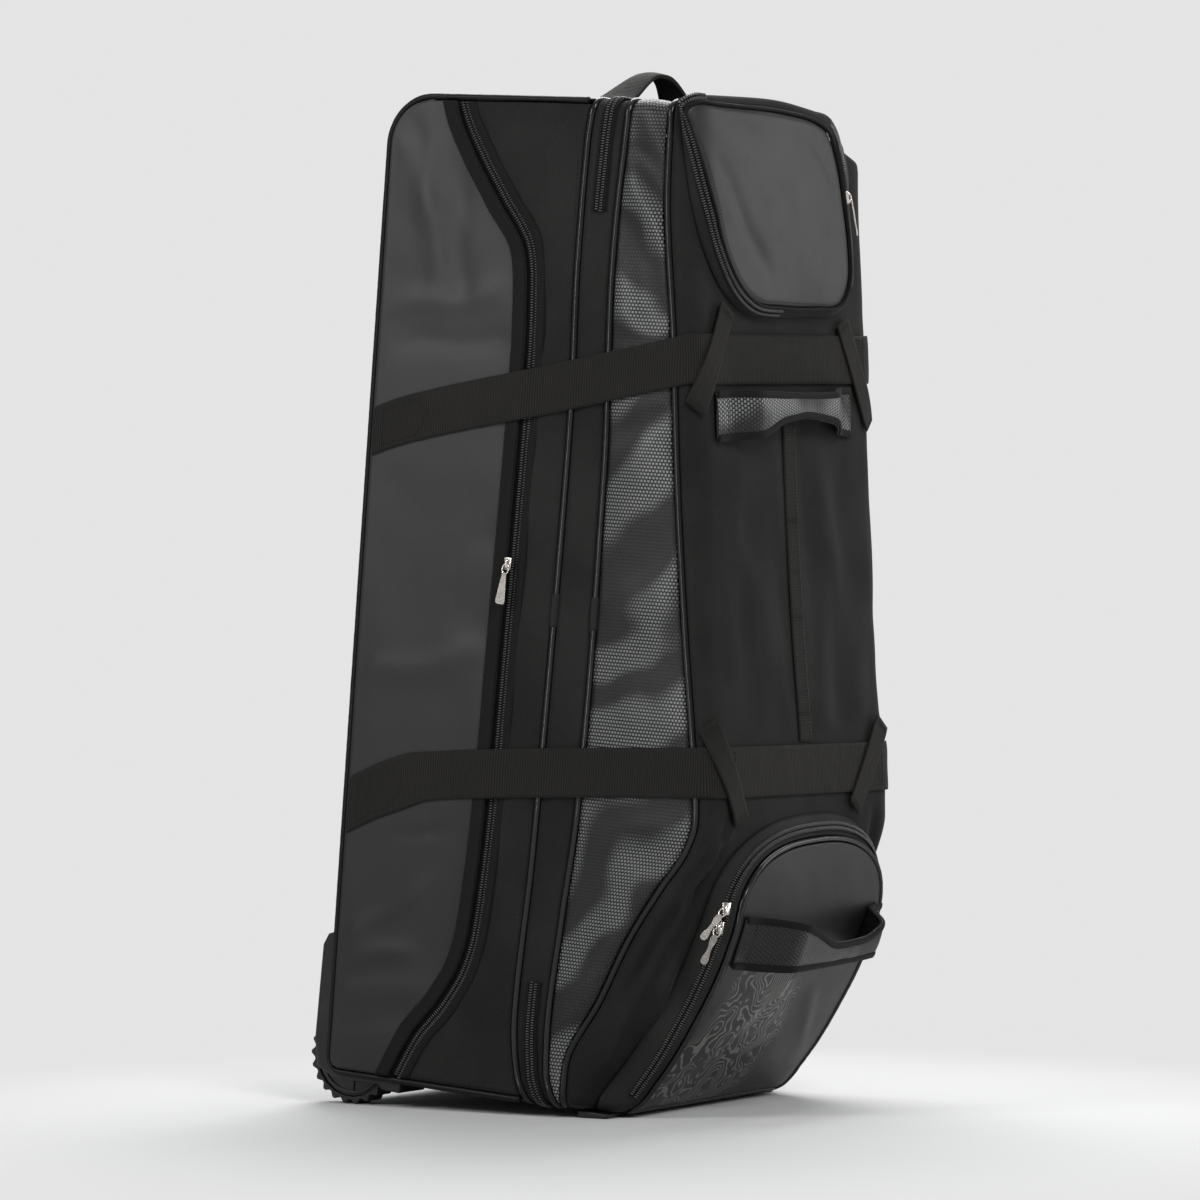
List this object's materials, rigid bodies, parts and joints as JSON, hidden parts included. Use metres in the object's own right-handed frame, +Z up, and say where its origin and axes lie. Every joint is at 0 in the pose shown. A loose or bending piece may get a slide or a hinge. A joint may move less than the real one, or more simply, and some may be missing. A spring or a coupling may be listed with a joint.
{
  "type": "cricket kit bag",
  "caption": "Upright wheeled kit bag in black coated cloth with side flaps, banded gusset, domed front pockets, webbing straps and grab handles.",
  "frame": {"origin": "middle of the bag's extent at the floor", "axes": "+Z up, pockets face -Y, wheels at +Y, +X to the right seen from the front"},
  "size_m": [0.3882, 0.5184, 1.0233],
  "materials": {
    "coated_cloth": "matte fine grain",
    "woven_cloth": "plain weave",
    "embossed_cloth": "glossy, embossed with small squares",
    "piping": "satin coated cord",
    "webbing": "ribbed webbing",
    "binding": "woven binding tape",
    "zip_coil": "coil teeth on tape",
    "nickel": "nickel plated",
    "moulded_plastic": "semi-gloss moulded",
    "tyre_rubber": "matte"
  },
  "bodies": {
    "bag": {"piping_rear": "piping", "piping_front": "piping", "piping_corner": "piping", "gusset_band": "woven_cloth", "textured_panel": "embossed_cloth", "band_zip_top": "zip_coil", "band_zip_base": "zip_coil", "back_panel": "woven_cloth", "top_panel": "woven_cloth", "base_panel_rear": "coated_cloth", "base_panel_front": "coated_cloth", "flap_left": "coated_cloth", "flap_binding_left": "binding", "flap_zip_left": "zip_coil", "side_panel_left": "woven_cloth", "piping_side_left": "piping", "flap_right": "coated_cloth", "flap_binding_right": "binding", "flap_zip_right": "zip_coil", "side_panel_right": "woven_cloth", "piping_side_right": "piping", "front_panel": "woven_cloth", "upper_pocket_gusset": "woven_cloth", "upper_pocket_face": "coated_cloth", "upper_pocket_zip": "zip_coil", "boot_pocket_gusset": "woven_cloth", "boot_pocket_face": "coated_cloth", "boot_pocket_piping": "piping", "boot_pocket_zip": "zip_coil", "flap_zip_left_slider": "nickel", "flap_zip_left_pull": "nickel", "flap_zip_right_slider": "nickel", "flap_zip_right_pull": "nickel", "boot_zip_high_slider": "nickel", "boot_zip_high_pull": "nickel", "boot_zip_low_slider": "nickel", "boot_zip_low_pull": "nickel", "upper_zip_slider": "nickel", "upper_zip_pull": "nickel", "upper_strap": "webbing", "lower_strap": "webbing", "webbing_strip": "webbing", "cinch_upper_left": "webbing", "cinch_upper_right": "webbing", "cinch_lower_left": "webbing", "cinch_lower_right": "webbing", "top_handle": "webbing", "grab_handle_upper": "embossed_cloth", "grab_handle_lower": "embossed_cloth", "axle_left": "nickel", "wheel_housing_left": "moulded_plastic", "axle_right": "nickel", "wheel_housing_right": "moulded_plastic", "base_foot_left": "moulded_plastic", "base_foot_right": "moulded_plastic"},
    "wheel_left": {"wheel_hub_left": "moulded_plastic", "tyre_left": "tyre_rubber"},
    "wheel_right": {"wheel_hub_right": "moulded_plastic", "tyre_right": "tyre_rubber"}
  },
  "joints": [
    {"name": "wheel_left_spin", "type": "hinge", "parent": "bag", "child": "wheel_left", "pos_m": [-0.1515, 0.21117, 0.048], "axis": [1, 0, 0], "continuous": true},
    {"name": "wheel_right_spin", "type": "hinge", "parent": "bag", "child": "wheel_right", "pos_m": [0.1515, 0.21117, 0.048], "axis": [1, 0, 0], "continuous": true}
  ]
}
